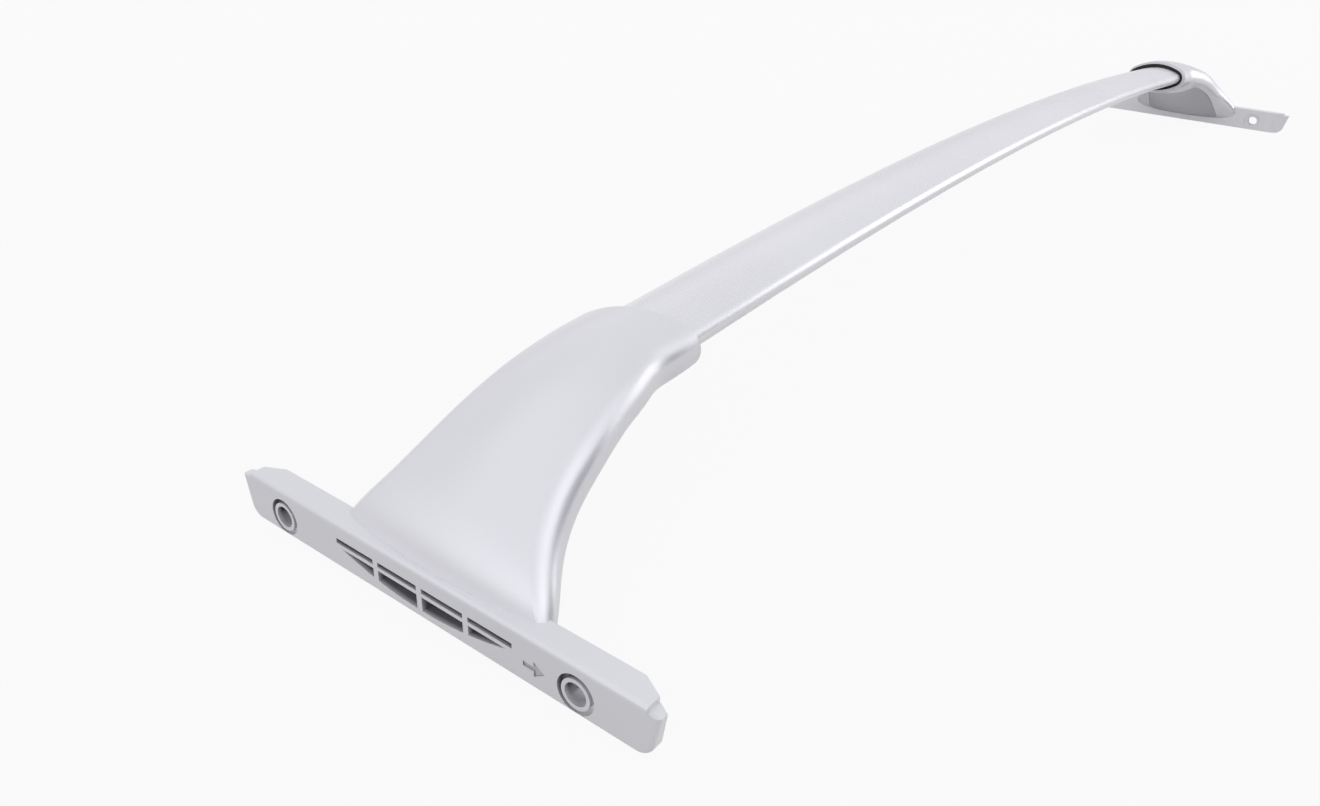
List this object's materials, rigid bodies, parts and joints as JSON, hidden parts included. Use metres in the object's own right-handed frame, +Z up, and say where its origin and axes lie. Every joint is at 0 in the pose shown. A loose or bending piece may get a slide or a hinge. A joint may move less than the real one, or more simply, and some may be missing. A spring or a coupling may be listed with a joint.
{
  "type": "roof rack crossbar",
  "caption": "Arched roof rack crossbar: a hollow lens-section bar held in swept cast feet, whose pocketed bolt flanges fix to the inner faces of a vehicle's roof rails.",
  "frame": {"origin": "Middle of the bar's length, middle of the flanges' length, on the underside of the flanges.", "axes": "X along the bar, -Y towards the bar's nose (the front), +Z up."},
  "size_m": [1.05, 0.1944, 0.079],
  "materials": {
    "bar_paint": "satin silver metallic paint",
    "foot_paint": "satin silver metallic paint",
    "gasket_rubber": "matte",
    "cover_plastic": "satin silver paint",
    "screw_steel": "zinc plated",
    "plate_steel": "zinc plated"
  },
  "bodies": {
    "root": {"crossbar": "bar_paint", "left_foot": "foot_paint", "right_foot": "foot_paint", "left_gasket": "gasket_rubber", "right_gasket": "gasket_rubber", "left_inner_cover": "cover_plastic", "right_inner_cover": "cover_plastic", "left_bar_screws": "screw_steel", "right_bar_screws": "screw_steel", "left_nut_plate": "plate_steel", "right_nut_plate": "plate_steel"}
  },
  "joints": []
}
